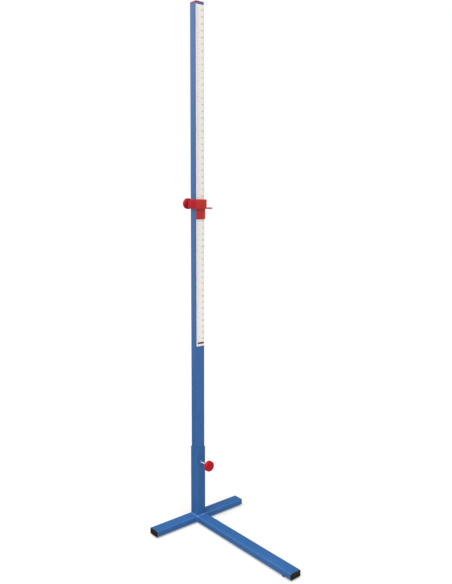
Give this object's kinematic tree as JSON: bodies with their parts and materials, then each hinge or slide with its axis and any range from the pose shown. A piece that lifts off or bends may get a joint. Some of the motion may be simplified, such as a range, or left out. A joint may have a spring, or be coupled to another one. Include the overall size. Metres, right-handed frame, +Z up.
{
  "type": "high jump standard",
  "caption": "High jump standard: square steel upright clamped in the sleeve of a T-shaped base, with a scale strip and a sliding crossbar rest with pointer.",
  "frame": {"origin": "on the floor on which the rubber feet stand, at the bottom centre of the bounding box: the upright's axis is 255 mm behind it, the front plug's end 328 mm in front, and the front of the slider's knob 328 mm behind", "axes": "+X along the long leg, away from the upright, on the side of the scale strip; +Y along the cross leg, to the side on which the crossbar lies; +Z up the upright"},
  "size_m": [0.656, 0.46, 2.129],
  "materials": {
    "blue_paint": "satin",
    "red_plastic": "satin",
    "black_plastic": "matt",
    "rubber": "matt",
    "zinc": "bright",
    "nylon": "satin",
    "white_film": "satin"
  },
  "bodies": {
    "base": {"cross_leg_tube": "blue_paint", "long_leg_tube": "blue_paint", "sleeve_tube": "blue_paint", "sleeve_weld": "blue_paint", "leg_weld": "blue_paint", "base_clamp_nut": "blue_paint", "base_nut_weld": "blue_paint", "end_plug_left": "black_plastic", "end_plug_right": "black_plastic", "end_plug_front": "black_plastic", "foot_left": "rubber", "foot_right": "rubber", "foot_front_left": "rubber", "foot_front_right": "rubber"},
    "base_clamp_tip": {"base_clamp_tip": "nylon"},
    "base_clamp_screw": {"base_clamp_stud": "zinc", "base_clamp_knob": "red_plastic"},
    "upright": {"upright_tube": "blue_paint", "upright_cap": "red_plastic", "upright_bottom_plug": "black_plastic", "scale_strip": "white_film"},
    "slider": {"slider_body": "red_plastic", "pointer_plate": "red_plastic", "slider_nut": "zinc"},
    "slider_clamp_tip": {"slider_clamp_tip": "nylon"},
    "slider_clamp_screw": {"slider_clamp_stud": "zinc", "slider_clamp_knob": "red_plastic"}
  },
  "joints": [
    {"name": "upright_slide", "type": "slide", "parent": "base", "child": "upright", "axis": [0, 0, 1], "range_m": [0, 0.32]},
    {"name": "slider_slide", "type": "slide", "parent": "upright", "child": "slider", "axis": [0, 0, 1], "range_m": [-0.96, 0.745]},
    {"name": "base_clamp_travel", "type": "slide", "parent": "base", "child": "base_clamp_tip", "axis": [1, 0, 0], "range_m": [0, 0.002]},
    {"name": "base_clamp_turn", "type": "hinge", "parent": "base_clamp_tip", "child": "base_clamp_screw", "pos_m": [-0.2319, 0, 0.2665], "axis": [1, 0, 0], "range_deg": [0, 580]},
    {"name": "slider_clamp_travel", "type": "slide", "parent": "slider", "child": "slider_clamp_tip", "axis": [-1, 0, 0], "range_m": [0, 0.002]},
    {"name": "slider_clamp_turn", "type": "hinge", "parent": "slider_clamp_tip", "child": "slider_clamp_screw", "pos_m": [-0.2781, 0, 1.355], "axis": [-1, 0, 0], "range_deg": [0, 580]}
  ],
  "couplings": [
    {"joint": "base_clamp_turn", "follows": "base_clamp_travel", "rad_per_m": 5026.5},
    {"joint": "slider_clamp_turn", "follows": "slider_clamp_travel", "rad_per_m": 5026.5}
  ]
}
